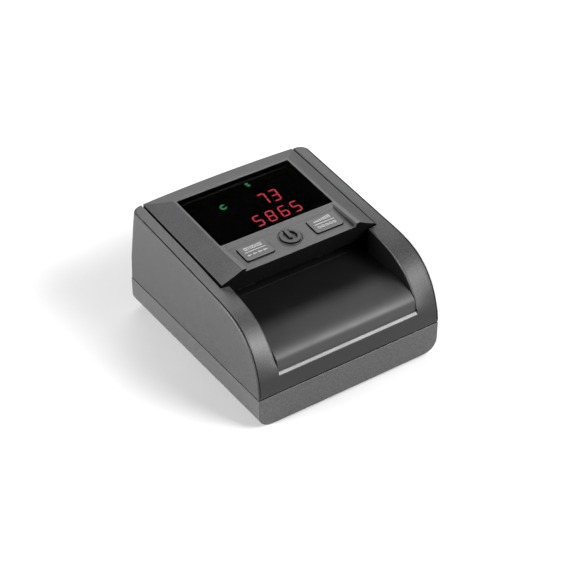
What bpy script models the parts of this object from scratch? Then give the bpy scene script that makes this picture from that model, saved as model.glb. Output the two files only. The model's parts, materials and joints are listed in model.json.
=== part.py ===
"""Counterfeit bill detector: a desktop note checker with a hinged hood over a motor-driven feed path.

Sizes are in millimetres here and are scaled to metres when a mesh is made. +X is to the right as the
user faces the front, +Y runs to the rear, +Z is up, and the origin is on the table under the centre.
"""
import math

import bmesh
import bpy
from mathutils import Matrix, Vector

MM = 0.001

# Driving dimensions, mm
WIDTH = 128.0
DEPTH = 141.0
FOOT_DROP = 2.0
BASE_HEIGHT = 21.3
WALL = 2.4
GAP = 0.3

FRONT = -DEPTH / 2
REAR = DEPTH / 2
HALF = WIDTH / 2
SEAM = FOOT_DROP + BASE_HEIGHT

# Upper housing: two cheeks beside a channel
SEAM_GROOVE = 0.6
BASE_EDGE_R = 8.7
CHEEK_DRAFT = 0.7
RAIL_SLOPE = 0.0742
CURVE_REACH = 50.0
CURVE_RISE = 40.4
CURVE_POWER = 3.3
CURVE_ROOT = 1.9
CURVE_STEPS = 26
THROAT_HALF = 49.2
CHANNEL_HALF = 55.1
CHANNEL_FRONT = FRONT + 51.4
CHEEK_SKIN = 2.2
INNER_WALL = 2.0
SILL_TOP = SEAM + 12.3
REAR_WALL_TOP = SEAM + 40.0

# Feed path
RAMP_HALF = 48.9
SLOT_Y = FRONT + 59.4
PATH_Z = SEAM + 25.0
PLATE_T = 2.0
PATH_HEIGHT = 4.4
UNDERPLATE_T = 1.8

# Hood
HOOD_HALF = 54.2
PLATEAU_HALF = 41.4
HOOD_SKIN = 2.2
HOOD_BOTTOM = SEAM + 31.6
HOOD_FRONT_Z = SEAM + 44.8
HOOD_REAR_Z = SEAM + 51.0
HINGE_Y = FRONT + 135.6
HINGE_PIN_R = 1.6
HINGE_Z = SEAM + 46.5
PLANE_SLOPE = 0.0767
WINDOW_HALF = 39.8
WINDOW_FRONT = FRONT + 75.4
WINDOW_REAR = FRONT + 123.6
WINDOW_FRONT_Z = SEAM + 52.5
WINDOW_T = 1.8
KEY_FRONT = FRONT + 51.1
KEY_REAR = FRONT + 71.6
KEY_FRONT_Z = SEAM + 49.3
KEY_GAP = 0.5
KEY_PROUD = 0.9
KEY_Y = FRONT + 62.6
LEFT_KEY_X = -24.0
RIGHT_KEY_X = 25.0
KEY_HALF_X = 9.6
KEY_HALF_Y = 6.1
POWER_KEY_X = 0.3
POWER_KEY_R = 7.2

# Transport
DRIVE_ROLLER_R = 8.0
PINCH_ROLLER_R = 6.0
ROLLER_WIDTH = 12.0
ROLLER_X = 28.0
ROLLER_PROUD = 0.6
SHAFT_R = 2.0
PINCH_SHAFT_R = 1.5
FRONT_AXLE_Y = FRONT + 72.0
REAR_AXLE_Y = FRONT + 116.0
DRIVE_Z = PATH_Z + ROLLER_PROUD - DRIVE_ROLLER_R
PINCH_Z = PATH_Z + ROLLER_PROUD + GAP + PINCH_ROLLER_R
FLANGE_X = 48.0
FLANGE_T = 2.0
PULLEY_X = -52.2
PULLEY_R = 3.8
MOTOR_PULLEY_R = 2.8
PULLEY_WIDTH = 3.6
BELT_T = 1.0
BELT_WIDTH = 2.4
MOTOR_Y = FRONT + 94.0
MOTOR_Z = SEAM - 4.0
MOTOR_R = 12.0
MOTOR_SHAFT_R = 1.2

# Base interior
FLOOR_Z = FOOT_DROP + WALL
BOARD_Z = FLOOR_Z + 3.4
BOARD_T = 1.6
SCREW_X = 40.0
SCREW_FRONT_Y = FRONT + 8.0
SCREW_REAR_Y = REAR - 7.0
FOOT_X = 50.0
FOOT_Y = 54.0
JACK_X = 26.0
PORT_X = 8.0


def clear_scene():
    for obj in list(bpy.data.objects):
        bpy.data.objects.remove(obj, do_unlink=True)


def collection(name):
    made = bpy.data.collections.new(name)
    bpy.context.scene.collection.children.link(made)
    return made


clear_scene()
PARTS = collection("bill_detector")
CUTTERS = collection("cutters")


def material(name, colour, roughness, metallic=0.0):
    made = bpy.data.materials.new(name)
    made.use_nodes = True
    shader = made.node_tree.nodes["Principled BSDF"]
    shader.inputs["Base Color"].default_value = (*colour, 1.0)
    shader.inputs["Roughness"].default_value = roughness
    shader.inputs["Metallic"].default_value = metallic
    return made


CASING = material("casing_plastic", (0.145, 0.145, 0.15), 0.5)
HOOD = material("hood_plastic", (0.09, 0.09, 0.095), 0.5)
RAMP = material("ramp_plastic", (0.06, 0.06, 0.065), 0.45)
BLACK = material("black_plastic", (0.02, 0.02, 0.02), 0.5)
SMOKED = material("smoked_acrylic", (0.005, 0.005, 0.006), 0.08)
KEY = material("key_plastic", (0.11, 0.11, 0.115), 0.5)
RUBBER = material("rubber", (0.03, 0.03, 0.03), 0.8)
BELT = material("belt_rubber", (0.02, 0.02, 0.02), 0.7)
STEEL = material("steel", (0.6, 0.6, 0.6), 0.3, 1.0)
BRONZE = material("bronze_bush", (0.5, 0.35, 0.2), 0.4, 1.0)
MOTOR_CAN = material("motor_can", (0.5, 0.5, 0.5), 0.35, 1.0)
WHITE = material("white_plastic", (0.75, 0.75, 0.72), 0.5)
CIRCUIT = material("circuit_board", (0.02, 0.16, 0.06), 0.4)
GLASS = material("sensor_glass", (0.05, 0.06, 0.09), 0.05)


# Shape helpers. Every helper takes millimetres.

def finish(name, mesh, look, group=PARTS):
    made = bpy.data.objects.new(name, mesh)
    group.objects.link(made)
    if look is not None:
        mesh.materials.append(look)
    if group is CUTTERS:
        made.hide_render = True
        made.display_type = "WIRE"
    return made


def box(name, low, high, look=None, group=PARTS):
    """A box between two corners."""
    size = [b - a for a, b in zip(low, high)]
    centre = [(a + b) / 2 for a, b in zip(low, high)]
    bm = bmesh.new()
    bmesh.ops.create_cube(bm, size=1.0, matrix=Matrix.Diagonal((*[s * MM for s in size], 1.0)))
    mesh = bpy.data.meshes.new(name)
    bm.to_mesh(mesh)
    bm.free()
    made = finish(name, mesh, look, group)
    made.location = Vector(centre) * MM
    return made


AXES = {"X": Matrix.Rotation(math.pi / 2, 4, "Y"),
        "Y": Matrix.Rotation(-math.pi / 2, 4, "X"),
        "Z": Matrix.Identity(4)}


def cylinder(name, centre, radius, length, axis="Z", sides=20, look=None, group=PARTS):
    """A solid round bar centred on a point."""
    bm = bmesh.new()
    bmesh.ops.create_cone(bm, cap_ends=True, segments=sides, radius1=radius * MM, radius2=radius * MM,
                          depth=length * MM)
    mesh = bpy.data.meshes.new(name)
    bm.to_mesh(mesh)
    bm.free()
    made = finish(name, mesh, look, group)
    made.matrix_world = Matrix.Translation(Vector(centre) * MM) @ AXES[axis]
    smooth(made)
    return made


def smooth(obj):
    obj.data.shade_smooth()
    obj.data.set_sharp_from_angle(angle=math.radians(35))


def turned(name, centre, profile, look, axis="X", sides=20):
    """A closed profile of (radius, along) points, turned about the axis through the centre."""
    bm = bmesh.new()
    verts = [bm.verts.new((r * MM, 0.0, z * MM)) for r, z in profile]
    for first, second in zip(verts, verts[1:] + verts[:1]):
        bm.edges.new((first, second))
    mesh = bpy.data.meshes.new(name)
    bm.to_mesh(mesh)
    bm.free()
    made = finish(name, mesh, look)
    screw = made.modifiers.new("turn", "SCREW")
    screw.axis = "Z"
    screw.steps = sides
    screw.render_steps = sides
    screw.use_merge_vertices = True
    screw.merge_threshold = 0.00001
    made.matrix_world = Matrix.Translation(Vector(centre) * MM) @ AXES[axis]
    return made


def sleeve(name, centre, inner, outer, length, look, axis="X", sides=20):
    """A plain tube: outer side from top to bottom, then back up the bore."""
    half = length / 2
    section = [(outer, half), (outer, -half), (inner, -half), (inner, half)]
    return turned(name, centre, section, look, axis, sides)


PLANES = {"X": Matrix(((0, 0, 1, 0), (1, 0, 0, 0), (0, 1, 0, 0), (0, 0, 0, 1))),
          "Y": Matrix(((1, 0, 0, 0), (0, 0, -1, 0), (0, 1, 0, 0), (0, 0, 0, 1))),
          "Z": Matrix.Identity(4)}


def extruded(name, axis, low, high, outlines, look=None, group=PARTS):
    """Outlines, the first the rim and the rest its holes, extruded along an axis from low to high.

    Outline points are (y, z) for axis X, (x, z) for axis Y and (x, y) for axis Z.
    """
    flat = bpy.data.curves.new(name, "CURVE")
    flat.dimensions = "2D"
    flat.fill_mode = "BOTH"
    flat.extrude = abs(high - low) / 2 * MM
    for outline in outlines:
        spline = flat.splines.new("POLY")
        spline.points.add(len(outline) - 1)
        for point, (u, v) in zip(spline.points, outline):
            point.co = (u * MM, v * MM, 0.0, 1.0)
        spline.use_cyclic_u = True
    guide = bpy.data.objects.new(name + "_outline", flat)
    CUTTERS.objects.link(guide)
    bpy.context.view_layer.update()
    mesh = bpy.data.meshes.new_from_object(guide.evaluated_get(bpy.context.evaluated_depsgraph_get()))
    bpy.data.objects.remove(guide, do_unlink=True)
    middle = (low + high) / 2 * MM
    shift = {"X": (middle, 0, 0), "Y": (0, middle, 0), "Z": (0, 0, middle)}[axis]
    bm = bmesh.new()
    bm.from_mesh(mesh)
    bmesh.ops.remove_doubles(bm, verts=bm.verts, dist=0.000001)
    bmesh.ops.transform(bm, matrix=Matrix.Translation(shift) @ PLANES[axis], verts=bm.verts)
    bmesh.ops.recalc_face_normals(bm, faces=bm.faces)
    bm.to_mesh(mesh)
    bm.free()
    mesh.materials.clear()
    mesh.name = name
    return finish(name, mesh, look, group)


def combine(obj, other, operation="DIFFERENCE"):
    """Cut obj with other, or join other to it; other becomes a hidden helper."""
    if other.name in PARTS.objects:
        PARTS.objects.unlink(other)
        CUTTERS.objects.link(other)
    other.hide_render = True
    other.display_type = "WIRE"
    step = obj.modifiers.new(operation.lower(), "BOOLEAN")
    step.operation = operation
    step.solver = "EXACT"
    step.object = other


def cut_box(obj, low, high):
    combine(obj, box(obj.name + "_cut", low, high, group=CUTTERS))


def cut_round(obj, centre, radius, length, axis="Z", sides=20):
    combine(obj, cylinder(obj.name + "_bore", centre, radius, length, axis, sides, group=CUTTERS))


def join_box(obj, low, high):
    combine(obj, box(obj.name + "_rib", low, high, group=CUTTERS), "UNION")


def join_round(obj, centre, radius, length, axis="Z", sides=16):
    combine(obj, cylinder(obj.name + "_boss", centre, radius, length, axis, sides, group=CUTTERS), "UNION")


# Outlines

def rail_height(reach):
    """Height of the cheek's top edge above the seam, at a distance behind the front face."""
    if reach >= CURVE_REACH:
        return RAIL_SLOPE * reach + CURVE_RISE
    fill = 1.0 - ((CURVE_REACH - reach) / CURVE_REACH) ** CURVE_POWER
    return RAIL_SLOPE * reach + CURVE_RISE * max(fill, 0.0) ** (1.0 / CURVE_ROOT)


def cheek_profile(inset=0.0):
    """Side view of the housing: up the curved front, along the sloping top and down the rear."""
    points = []
    for step in range(CURVE_STEPS + 1):
        reach = CURVE_REACH * (step / CURVE_STEPS) ** 2
        points.append((FRONT + reach, SEAM + rail_height(reach)))
    points.append((REAR - 1.2, SEAM + rail_height(DEPTH) - 0.6))
    points.append((REAR, SEAM + rail_height(DEPTH) - 5.0))
    points.append((REAR, SEAM))
    if inset:
        points = inset_profile(points, inset)
    return points


def inset_profile(points, distance):
    """The profile moved inwards by a distance, with its open bottom extended below the seam."""
    moved = []
    count = len(points)
    for index, (y, z) in enumerate(points):
        before = points[max(index - 1, 0)]
        after = points[min(index + 1, count - 1)]
        dy, dz = after[0] - before[0], after[1] - before[1]
        length = math.hypot(dy, dz)
        moved.append((y + dz / length * distance, z - dy / length * distance))
    moved[0] = (moved[0][0], SEAM - 5.0)
    moved[-1] = (moved[-1][0], SEAM - 5.0)
    return moved


def tray_outline(inset=0.0, top=None, steps=5):
    """Front view of the base: straight sides with rounded lower edges."""
    half = HALF - inset
    bottom = FOOT_DROP + inset
    radius = BASE_EDGE_R - inset
    top = SEAM - SEAM_GROOVE if top is None else top
    points = [(half, top)]
    for side in (1, -1):
        arc = []
        for step in range(steps + 1):
            angle = math.pi / 2 * step / steps
            arc.append((side * (half - radius + radius * math.cos(angle)),
                        bottom + radius - radius * math.sin(angle)))
        points += arc if side == 1 else arc[::-1]
    points.append((-half, top))
    return points


# Casing

def make_base_shell():
    shell = extruded("base_shell", "Y", FRONT, REAR, [tray_outline()], CASING)
    inner = tray_outline(WALL, SEAM + 2)
    hollow = extruded("base_hollow", "Y", FRONT + WALL, REAR - WALL, [inner], None, CUTTERS)
    combine(shell, hollow)
    for x in (-SCREW_X, SCREW_X):
        for y in (SCREW_FRONT_Y, SCREW_REAR_Y):
            join_round(shell, (x, y, (FLOOR_Z - 1 + SEAM - 1) / 2), 3.8, SEAM - FLOOR_Z, "Z", 12)
            cut_round(shell, (x, y, SEAM / 2), 1.8, 60, "Z", 12)
            cut_round(shell, (x, y, FOOT_DROP + 2), 3.2, 8, "Z", 12)
    for x in (-FOOT_X, FOOT_X):
        for y in (-FOOT_Y, FOOT_Y):
            cut_round(shell, (x, y, FOOT_DROP), 6.4, 1.6, "Z", 20)
    for index in range(6):
        x = -12.5 + index * 5.0
        cut_box(shell, (x - 1, -34, 0), (x + 1, -10, FLOOR_Z + 1))
    cut_round(shell, (JACK_X, REAR, SEAM - 9), 4.2, 8, "Y", 20)
    cut_box(shell, (PORT_X - 5.5, REAR - 4, SEAM - 12), (PORT_X + 5.5, REAR + 1, SEAM - 6))


def make_upper_housing():
    body = extruded("upper_housing", "X", -HALF, HALF, [cheek_profile()], CASING)
    for vert in body.data.vertices:
        rise = (vert.co.z / MM - SEAM) / 45.0
        vert.co.x -= math.copysign(CHEEK_DRAFT * rise * MM, vert.co.x)
    inner = cheek_profile(CHEEK_SKIN)
    for side in (-1, 1):
        low, high = sorted((side * (THROAT_HALF + INNER_WALL), side * (HALF - WALL)))
        hollow = extruded("cheek_hollow", "X", low, high, [inner], None, CUTTERS)
        wide = side * (CHANNEL_HALF + INNER_WALL)
        low, high = sorted((side * 40.0, wide))
        wall = box("channel_wall", (low, CHANNEL_FRONT - INNER_WALL, 0), (high, 90, 120), group=CUTTERS)
        combine(hollow, wall)
        combine(body, hollow)
    cut_box(body, (-THROAT_HALF, FRONT + WALL, 0), (THROAT_HALF, CHANNEL_FRONT + 2, 120))
    cut_box(body, (-THROAT_HALF, FRONT - 5, SILL_TOP), (THROAT_HALF, FRONT + WALL + 1, 120))
    cut_box(body, (-CHANNEL_HALF, CHANNEL_FRONT, 0), (CHANNEL_HALF, REAR - WALL, 120))
    cut_box(body, (-CHANNEL_HALF, REAR - 6, REAR_WALL_TOP), (CHANNEL_HALF, REAR + 5, 120))
    cut_box(body, (-46.5, REAR - 6, PATH_Z - 0.6), (46.5, REAR + 5, PATH_Z + 4.6))
    for x in (-SCREW_X, SCREW_X):
        for y, wall_y in ((SCREW_FRONT_Y, FRONT + 1), (SCREW_REAR_Y, REAR - 1)):
            join_box(body, (x - 1, min(y, wall_y), SEAM), (x + 1, max(y, wall_y), SEAM + 9))
            join_round(body, (x, y, SEAM + 4.5), 3.6, 9, "Z", 12)
            cut_round(body, (x, y, SEAM), 1.7, 14, "Z", 12)
    for side in (-1, 1):
        cut_round(body, (side * 57, HINGE_Y, HINGE_Z), HINGE_PIN_R + GAP, 6, "X", 16)
    smooth(body)


def make_feed_ramp():
    top = [(FRONT + 2.8, SEAM + 10), (FRONT + 2.8, SILL_TOP + 0.2), (FRONT + 4.4, SEAM + 18.6)]
    top += [(FRONT + 4.9, SEAM + 19.9), (FRONT + 6.0, SEAM + 20.8), (FRONT + 8.2, SEAM + 21.3)]
    top += [(FRONT + 14, SEAM + 21.8), (SLOT_Y - GAP, PATH_Z), (SLOT_Y - GAP, PATH_Z - PLATE_T)]
    under = [(FRONT + 8.5, SEAM + 19.1), (FRONT + 6.4, SEAM + 17.8), (FRONT + 4.9, SEAM + 12)]
    under += [(FRONT + 4.9, SEAM + 10)]
    extruded("feed_ramp", "X", -RAMP_HALF, RAMP_HALF, [top + under], RAMP)


def make_top_cover():
    """The hood: a raised flat top with sloping wings, open underneath, with a recessed key panel."""
    cover = hood_solid("top_cover", 0.0, HOOD)
    combine(cover, hood_solid("hood_hollow", HOOD_SKIN, None, CUTTERS))
    panel = extruded("key_recess", "X", -39.0, 39.0, [[(KEY_FRONT - 9, KEY_FRONT_Z - PLANE_SLOPE * 9),
                                                     (KEY_REAR, key_panel_z(KEY_REAR)),
                                                     (KEY_REAR + 1.8, SEAM + 60),
                                                     (KEY_FRONT - 9, SEAM + 60)]], None, CUTTERS)
    combine(cover, panel)
    backing = [(KEY_FRONT + 1.2, key_panel_z(KEY_FRONT + 1.2) - 0.02),
               (KEY_REAR + 2, key_panel_z(KEY_REAR + 2) - 0.02),
               (KEY_REAR + 2, key_panel_z(KEY_REAR) - 2.2),
               (KEY_FRONT + 1.8, key_panel_z(KEY_FRONT + 1.2) - 2.2)]
    combine(cover, extruded("key_panel", "X", -41, 41, [backing], None, CUTTERS), "UNION")
    cut_box(cover, (-WINDOW_HALF - GAP, WINDOW_FRONT - GAP, SEAM + 47),
            (WINDOW_HALF + GAP, WINDOW_REAR + GAP, 120))
    for x in (LEFT_KEY_X, RIGHT_KEY_X):
        wide, long = KEY_HALF_X + KEY_GAP, KEY_HALF_Y + KEY_GAP
        cut_box(cover, (x - wide, KEY_Y - long, SEAM + 44), (x + wide, KEY_Y + long, 120))
    cut_round(cover, (POWER_KEY_X, KEY_Y, SEAM + 50), POWER_KEY_R + GAP, 14, "Z", 24)
    for side in (-1, 1):
        cut_round(cover, (side * 53, HINGE_Y, HINGE_Z), HINGE_PIN_R + GAP, 8, "X", 16)
    smooth(cover)


def key_panel_z(y):
    return KEY_FRONT_Z + PLANE_SLOPE * (y - KEY_FRONT)


def hood_solid(name, inset, look, group=PARTS):
    """The hood's outer form, or with an inset the hollow inside it, lofted from front to rear."""
    half = HOOD_HALF - inset
    rows = []
    low_z = HOOD_BOTTOM if inset == 0 else HOOD_BOTTOM - 5
    slope = (HOOD_REAR_Z - HOOD_FRONT_Z) / 86.2

    def wing_z(y):
        return HOOD_FRONT_Z + slope * (y - (FRONT + 51.9)) - inset * 1.15

    stations = [(FRONT + 50.2 + inset, FRONT + 51.9 + inset * 1.4, FRONT + 58.0 + inset, SEAM + 52.2),
                (FRONT + 60.0, FRONT + 60.0, FRONT + 62.0 + inset, SEAM + 52.3),
                (FRONT + 75.0, FRONT + 75.0, FRONT + 75.0, SEAM + 52.7),
                (FRONT + 125.0 - inset * 0.4, FRONT + 125.0 - inset * 0.4, FRONT + 125.0, SEAM + 56.5)]
    for top_y, wing_y, low_y, top_z in stations:
        rows.append([(-half, low_y, low_z), (-half, wing_y, wing_z(wing_y)),
                     (-PLATEAU_HALF, top_y, top_z - inset), (PLATEAU_HALF, top_y, top_z - inset),
                     (half, wing_y, wing_z(wing_y)), (half, low_y, low_z),
                     (PLATEAU_HALF, low_y, low_z), (-PLATEAU_HALF, low_y, low_z)])
    rear_y = FRONT + 138.8 - inset * 1.1
    bow_y = FRONT + 139.9 - inset * 1.1
    edge_z = wing_z(rear_y)
    skirt_z = SEAM + 41.2
    rows.append([(-half, rear_y, low_z), (-half, rear_y, edge_z), (-PLATEAU_HALF, bow_y, edge_z + 0.1),
                 (PLATEAU_HALF, bow_y, edge_z + 0.1), (half, rear_y, edge_z), (half, rear_y, low_z),
                 (PLATEAU_HALF, bow_y, low_z), (-PLATEAU_HALF, bow_y, low_z)])
    bm = bmesh.new()
    grid = [[bm.verts.new((x * MM, y * MM, z * MM)) for x, y, z in row] for row in rows]
    for first, second in zip(grid, grid[1:]):
        for index in range(len(first) - 1):
            bm.faces.new((first[index], first[index + 1], second[index + 1], second[index]))
        bm.faces.new((first[-1], first[0], second[0], second[-1]))
    bm.faces.new(grid[0][::-1])
    bm.faces.new(grid[-1])
    bmesh.ops.triangulate(bm, faces=bm.faces)
    bmesh.ops.recalc_face_normals(bm, faces=bm.faces)
    mesh = bpy.data.meshes.new(name)
    bm.to_mesh(mesh)
    bm.free()
    made = finish(name, mesh, look, group)
    if inset == 0:
        cut_box(made, (-HOOD_HALF - 1, HINGE_Y + 1.5, 0), (HOOD_HALF + 1, REAR + 5, skirt_z))
    return made


def make_display():
    def window_z(y):
        return WINDOW_FRONT_Z + PLANE_SLOPE * (y - WINDOW_FRONT)

    def slab(name, low_x, high_x, low_y, high_y, drop, thick, look):
        corners = [(low_y, window_z(low_y) - drop), (high_y, window_z(high_y) - drop),
                   (high_y, window_z(high_y) - drop - thick), (low_y, window_z(low_y) - drop - thick)]
        return extruded(name, "X", low_x, high_x, [corners], look)

    slab("display_window", -WINDOW_HALF, WINDOW_HALF, WINDOW_FRONT, WINDOW_REAR, 0.1, WINDOW_T, SMOKED)
    slab("digit_pair", 2.6, 19.4, FRONT + 91.5, FRONT + 107.0, 2.3, 6.4, BLACK)
    slab("digit_quad", -13.0, 24.0, FRONT + 75.8, FRONT + 91.0, 2.3, 6.4, BLACK)
    slab("display_board", -38.0, 38.0, FRONT + 74.0, FRONT + 121.0, 9.1, BOARD_T, CIRCUIT)


def arc(inner, outer, start, end, steps=20):
    """Outline of part of a ring about the origin, between two angles in degrees."""
    points = []
    for radius, way in ((outer, range(steps + 1)), (inner, range(steps, -1, -1))):
        for step in way:
            angle = math.radians(start + (end - start) * step / steps)
            points.append((radius * math.cos(angle), radius * math.sin(angle)))
    return points


def make_keys():
    """Two caption keys and the round power key, whose raised ring and bar stand on a flush disc."""
    low_y, high_y = KEY_Y - KEY_HALF_Y, KEY_Y + KEY_HALF_Y
    for name, x in (("left_key", LEFT_KEY_X), ("right_key", RIGHT_KEY_X)):
        corners = [(low_y, key_panel_z(low_y) + KEY_PROUD), (high_y, key_panel_z(high_y) + KEY_PROUD),
                   (high_y, key_panel_z(high_y) - 3.4), (low_y, key_panel_z(low_y) - 3.4)]
        extruded(name, "X", x - KEY_HALF_X, x + KEY_HALF_X, [corners], KEY)
    centre = Matrix.Translation(Vector((POWER_KEY_X, KEY_Y, key_panel_z(KEY_Y) - 1.7)) * MM)
    leaning = centre @ Matrix.Rotation(math.atan(PLANE_SLOPE), 4, "X")
    power = cylinder("power_key", (0.0, 0.0, 0.0), POWER_KEY_R, 3.4, "Z", 28, KEY)
    power.matrix_world = leaning
    bar = [(-1.2, -1.9), (1.2, -1.9), (1.2, 6.6), (-1.2, 6.6)]
    for outline in (arc(4.3, 6.5, 125, 412), bar):
        raised = extruded("power_mark", "Z", 1.0, 2.9, [outline], None, CUTTERS)
        raised.matrix_world = leaning @ raised.matrix_world
        combine(power, raised, "UNION")
    board = box("key_board", (-38, FRONT + 61.0, SEAM + 41.0),
                (38, FRONT + 71.0, SEAM + 41.0 + BOARD_T), CIRCUIT)
    for x in (LEFT_KEY_X, POWER_KEY_X, RIGHT_KEY_X):
        join_box(board, (x - 3, FRONT + 61.6, SEAM + 42), (x + 3, FRONT + 67.6, SEAM + 45.6))


# Transport

def make_guide_plate():
    plate = box("guide_plate", (-54.4, SLOT_Y, PATH_Z - PLATE_T), (54.4, REAR - WALL - 0.4, PATH_Z), BLACK)
    join_box(plate, (-FLANGE_X - 1, FRONT + 62, MOTOR_Z - MOTOR_R), (-FLANGE_X + 1, FRONT + 127, PATH_Z - 1))
    join_box(plate, (FLANGE_X - 1, FRONT + 62, PATH_Z - 15), (FLANGE_X + 1, FRONT + 127, PATH_Z - 1))
    for y in (FRONT_AXLE_Y, REAR_AXLE_Y):
        for x in (-ROLLER_X, ROLLER_X):
            cut_box(plate, (x - 7, y - 7.2, PATH_Z - 5), (x + 7, y + 7.2, PATH_Z + 5))
        cut_round(plate, (0, y, DRIVE_Z), 3.5, 120, "X", 20)
    cut_round(plate, (-FLANGE_X, MOTOR_Y, MOTOR_Z), 4.2, 6, "X", 20)
    cut_box(plate, (-40, FRONT + 87, PATH_Z - 5), (40, FRONT + 101, PATH_Z + 5))


def make_drives():
    for label, y in (("front", FRONT_AXLE_Y), ("rear", REAR_AXLE_Y)):
        cylinder(label + "_drive_shaft", (-2.0, y, DRIVE_Z), SHAFT_R, 105, "X", 16, STEEL)
        for side, x in (("left", -ROLLER_X), ("right", ROLLER_X)):
            sleeve("%s_drive_roller_%s" % (label, side), (x, y, DRIVE_Z), SHAFT_R + GAP, DRIVE_ROLLER_R,
                   ROLLER_WIDTH, RUBBER, sides=28)
        for side, x in (("left", -FLANGE_X), ("right", FLANGE_X)):
            sleeve("%s_bush_%s" % (label, side), (x, y, DRIVE_Z), SHAFT_R + GAP, 3.2, 3.2, BRONZE)
        pulley(label + "_pulley", (PULLEY_X, y, DRIVE_Z), SHAFT_R + GAP, PULLEY_R)


def pulley(name, centre, bore, radius):
    half = PULLEY_WIDTH / 2
    rim = radius + 0.7
    profile = [(rim, half), (rim, half - 0.4), (radius, half - 0.4), (radius, 0.4 - half), (rim, 0.4 - half),
               (rim, -half), (bore, -half), (bore, half)]
    turned(name, centre, profile, WHITE)


def make_motor():
    can = cylinder("motor", (-30.6, MOTOR_Y, MOTOR_Z), MOTOR_R, 32, "X", 28, MOTOR_CAN)
    join_round(can, (-47.4, MOTOR_Y, MOTOR_Z), 3.8, 2.6, "X", 16)
    cut_round(can, (-30, MOTOR_Y, MOTOR_Z), MOTOR_SHAFT_R + GAP, 60, "X", 12)
    cylinder("motor_shaft", (-31.5, MOTOR_Y, MOTOR_Z), MOTOR_SHAFT_R, 45, "X", 12, STEEL)
    pulley("motor_pulley", (PULLEY_X, MOTOR_Y, MOTOR_Z), MOTOR_SHAFT_R + GAP, MOTOR_PULLEY_R)
    holes = [circle(MOTOR_Y, MOTOR_Z, MOTOR_SHAFT_R + GAP, 12)]
    for step in range(8):
        angle = step * math.pi / 4
        holes.append(circle(MOTOR_Y + 6.8 * math.cos(angle), MOTOR_Z + 6.8 * math.sin(angle), 1.0, 8))
    extruded("encoder_wheel", "X", -11.9, -10.9, [circle(MOTOR_Y, MOTOR_Z, 9.0, 32)] + holes, BLACK)


def circle(u, v, radius, sides):
    steps = [2 * math.pi * step / sides for step in range(sides)]
    return [(u + radius * math.cos(angle), v + radius * math.sin(angle)) for angle in steps]


def make_belt():
    """A closed belt round the two drive pulleys and the motor's pulley."""
    wheels = [(FRONT_AXLE_Y, DRIVE_Z, PULLEY_R), (REAR_AXLE_Y, DRIVE_Z, PULLEY_R),
              (MOTOR_Y, MOTOR_Z, MOTOR_PULLEY_R)]
    loops = [belt_loop(wheels, GAP + BELT_T), belt_loop(wheels, GAP)]
    extruded("drive_belt", "X", PULLEY_X - BELT_WIDTH / 2, PULLEY_X + BELT_WIDTH / 2, loops, BELT)


def belt_loop(wheels, offset, sides=24):
    """The tight outline round the wheels: the convex hull of their circles, grown by an offset."""
    points = []
    for y, z, radius in wheels:
        for step in range(sides):
            angle = 2 * math.pi * step / sides
            points.append((y + (radius + offset) * math.cos(angle), z + (radius + offset) * math.sin(angle)))
    points.sort()
    hull = []
    for sweep in (points, points[::-1]):
        start = len(hull)
        for point in sweep:
            while len(hull) >= start + 2 and turn(hull[-2], hull[-1], point) <= 0:
                hull.pop()
            hull.append(point)
        hull.pop()
    return hull


def turn(a, b, c):
    return (b[0] - a[0]) * (c[1] - a[1]) - (b[1] - a[1]) * (c[0] - a[0])


def make_underplate():
    low = PATH_Z + PATH_HEIGHT
    profile = [(SLOT_Y + 0.4, low + 0.6), (SLOT_Y + 3, low), (FRONT + 136, low),
               (FRONT + 136, low + UNDERPLATE_T), (SLOT_Y + 0.4, low + UNDERPLATE_T)]
    plate = extruded("underplate", "X", -53.6, 53.6, [profile], BLACK)
    for y in (FRONT_AXLE_Y, REAR_AXLE_Y):
        for x in (-ROLLER_X, ROLLER_X):
            cut_box(plate, (x - 7, y - 6.3, low - 5), (x + 7, y + 6.3, low + 5))
        cut_box(plate, (-36.5, y - 2.1, low - 5), (36.5, y + 2.1, low + 5))
        for x in (-38.0, 38.0):
            join_box(plate, (x - 1, y - 3.4, low + 0.8), (x + 1, y + 3.4, PINCH_Z + 3.2))
            cut_round(plate, (x, y, PINCH_Z), PINCH_SHAFT_R + GAP, 6, "X", 12)
    cut_box(plate, (-40, FRONT + 87, low - 5), (40, FRONT + 97, low + 5))
    cut_box(plate, (-7, FRONT + 101.5, low - 5), (7, FRONT + 107.5, low + 5))


def make_pinches():
    for label, y in (("front", FRONT_AXLE_Y), ("rear", REAR_AXLE_Y)):
        cylinder(label + "_pinch_shaft", (0, y, PINCH_Z), PINCH_SHAFT_R, 80, "X", 12, STEEL)
        for side, x in (("left", -ROLLER_X), ("right", ROLLER_X)):
            sleeve("%s_pinch_roller_%s" % (label, side), (x, y, PINCH_Z), PINCH_SHAFT_R + GAP, PINCH_ROLLER_R,
                   ROLLER_WIDTH, RUBBER, sides=24)


def make_sensors():
    low = PATH_Z + PATH_HEIGHT
    box("lower_sensor_window", (-39.7, FRONT + 87.3, PATH_Z - 1.6),
        (39.7, FRONT + 100.7, PATH_Z - 0.2), GLASS)
    box("lower_sensor_board", (-42, FRONT + 86, PATH_Z - 5.6), (42, FRONT + 102, PATH_Z - 4.0), CIRCUIT)
    box("upper_sensor_window", (-39.7, FRONT + 87.3, low + 0.2), (39.7, FRONT + 96.7, low + 1.6), GLASS)
    box("upper_sensor_board", (-34, FRONT + 84, low + 5.2), (34, FRONT + 104, low + 6.8), CIRCUIT)
    box("magnetic_head", (-6.7, FRONT + 101.8, low + 0.1), (6.7, FRONT + 107.2, low + 4.4), STEEL)


# Electrics

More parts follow.
